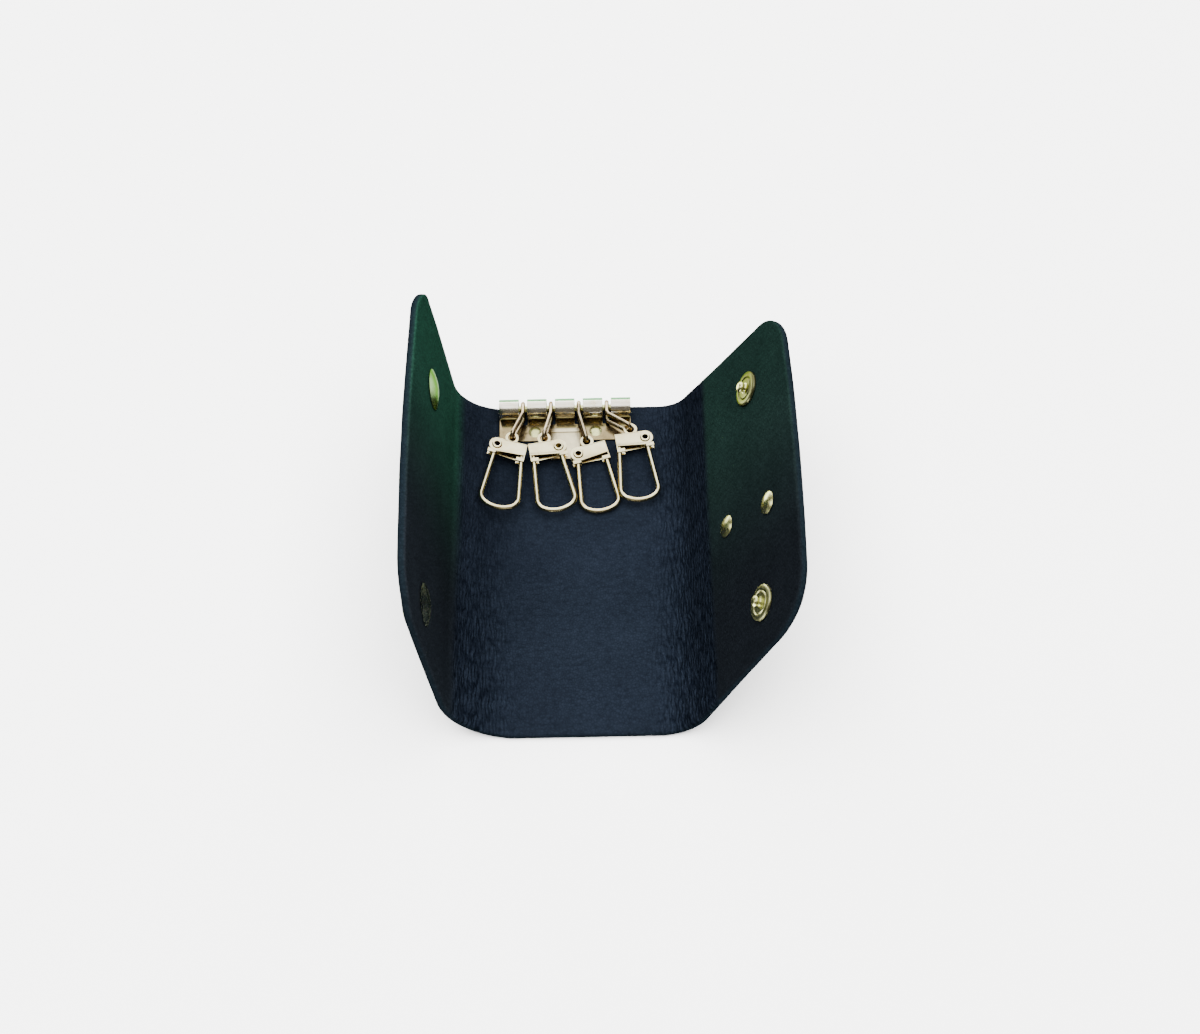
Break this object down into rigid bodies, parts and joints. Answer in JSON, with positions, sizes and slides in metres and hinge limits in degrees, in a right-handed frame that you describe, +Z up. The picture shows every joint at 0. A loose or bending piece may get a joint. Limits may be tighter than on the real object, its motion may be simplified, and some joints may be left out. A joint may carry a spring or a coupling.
{
  "type": "key case",
  "caption": "Folding leather key case standing open: a back panel with a key plate and swinging snap hooks, and two side flaps that close over them with snaps.",
  "frame": {"origin": "middle of the back panel's flat underside", "axes": "+X to the flap with the studs, +Y to the edge with the key plate, +Z up out of the open case"},
  "size_m": [0.0986, 0.1044, 0.0629],
  "materials": {
    "leather": "matt, fine grain",
    "pale_brass": "polished, worn",
    "yellow_brass": "polished"
  },
  "bodies": {
    "case": {"back_panel": "leather", "key_plate": "pale_brass", "hook_rod": "pale_brass", "plate_rivets": "yellow_brass"},
    "left_strip": {"left_fold": "leather"},
    "left_cover": {"left_flap": "leather", "left_snap_caps": "yellow_brass", "left_snap_sockets": "yellow_brass", "socket_springs": "pale_brass"},
    "right_strip": {"right_fold": "leather"},
    "right_cover": {"right_flap": "leather", "right_snap_studs": "yellow_brass", "right_snap_caps": "yellow_brass", "tab_rivets": "yellow_brass", "outer_tab": "leather"},
    "link_1": {"link_1": "pale_brass"},
    "link_2": {"link_2": "pale_brass"},
    "link_3": {"link_3": "pale_brass"},
    "link_4": {"link_4": "pale_brass"},
    "hook_1": {"hook_body_1": "pale_brass", "hook_eyelet_1": "pale_brass"},
    "hook_2": {"hook_body_2": "pale_brass", "hook_eyelet_2": "pale_brass"},
    "hook_3": {"hook_body_3": "pale_brass", "hook_eyelet_3": "pale_brass"},
    "hook_4": {"hook_body_4": "pale_brass", "hook_eyelet_4": "pale_brass"},
    "loop_1": {"hook_loop_1": "pale_brass"},
    "loop_2": {"hook_loop_2": "pale_brass"},
    "loop_3": {"hook_loop_3": "pale_brass"},
    "loop_4": {"hook_loop_4": "pale_brass"}
  },
  "joints": [
    {"name": "left_crease_inner", "type": "hinge", "parent": "case", "child": "left_strip", "pos_m": [-0.03122, 0, 0.00529], "axis": [0, -1, 0], "range_deg": [-48.25, 41.75]},
    {"name": "left_crease_outer", "type": "hinge", "parent": "left_strip", "child": "left_cover", "pos_m": [-0.03626, 0, 0.01292], "axis": [0, -1, 0], "range_deg": [-48.25, 41.75]},
    {"name": "right_crease_inner", "type": "hinge", "parent": "case", "child": "right_strip", "pos_m": [0.02588, 0, 0.00279], "axis": [0, 1, 0], "range_deg": [-40.6, 22.4]},
    {"name": "right_crease_outer", "type": "hinge", "parent": "right_strip", "child": "right_cover", "pos_m": [0.03528, 0, 0.01821], "axis": [0, 1, 0], "range_deg": [-75.4, 41.6]},
    {"name": "link_1_swing", "type": "hinge", "parent": "case", "child": "link_1", "pos_m": [-0.0172, 0.0496, 0.00505], "axis": [-1, 0, 0], "range_deg": [0, 150]},
    {"name": "hook_1_tilt", "type": "hinge", "parent": "link_1", "child": "hook_1", "pos_m": [-0.0197, 0.03972, 0.00697], "axis": [-0.9397, 0.3357, -0.0653], "range_deg": [0, 75]},
    {"name": "loop_1_open", "type": "hinge", "parent": "hook_1", "child": "loop_1", "pos_m": [-0.02443, 0.03542, 0.00758], "axis": [-0.1735, 0.019, -0.9847], "range_deg": [0, 7]},
    {"name": "link_2_swing", "type": "hinge", "parent": "case", "child": "link_2", "pos_m": [-0.0092, 0.0496, 0.00505], "axis": [-1, 0, 0], "range_deg": [0, 150]},
    {"name": "hook_2_tilt", "type": "hinge", "parent": "link_2", "child": "hook_2", "pos_m": [-0.01081, 0.03945, 0.00693], "axis": [-0.9763, 0.2128, -0.0394], "range_deg": [0, 75]},
    {"name": "loop_2_open", "type": "hinge", "parent": "hook_2", "child": "loop_2", "pos_m": [-0.00699, 0.0349, 0.00659], "axis": [0.0109, -0.0689, 0.9976], "range_deg": [0, 15]},
    {"name": "link_3_swing", "type": "hinge", "parent": "case", "child": "link_3", "pos_m": [-0.0012, 0.0496, 0.00505], "axis": [-1, 0, 0], "range_deg": [0, 159]},
    {"name": "hook_3_tilt", "type": "hinge", "parent": "link_3", "child": "hook_3", "pos_m": [0.00059, 0.03932, 0.00532], "axis": [-0.9703, -0.2418, 0.0063], "range_deg": [0, 75]},
    {"name": "loop_3_open", "type": "hinge", "parent": "hook_3", "child": "loop_3", "pos_m": [-0.0015, 0.03336, 0.00475], "axis": [-0.0192, 0.0671, -0.9976], "range_deg": [0, 15]},
    {"name": "link_4_swing", "type": "hinge", "parent": "case", "child": "link_4", "pos_m": [0.0068, 0.0496, 0.00505], "axis": [-1, 0, 0], "range_deg": [0, 150]},
    {"name": "hook_4_tilt", "type": "hinge", "parent": "link_4", "child": "hook_4", "pos_m": [0.01224, 0.04178, 0.0065], "axis": [-0.6157, -0.7748, 0.1436], "range_deg": [0, 75]},
    {"name": "loop_4_open", "type": "hinge", "parent": "hook_4", "child": "loop_4", "pos_m": [0.01747, 0.03768, 0.00606], "axis": [0.0097, -0.0691, 0.9976], "range_deg": [0, 15]}
  ],
  "couplings": [
    {"joint": "left_crease_outer", "follows": "left_crease_inner", "ratio": 1},
    {"joint": "right_crease_outer", "follows": "right_crease_inner", "ratio": 1.8571}
  ]
}
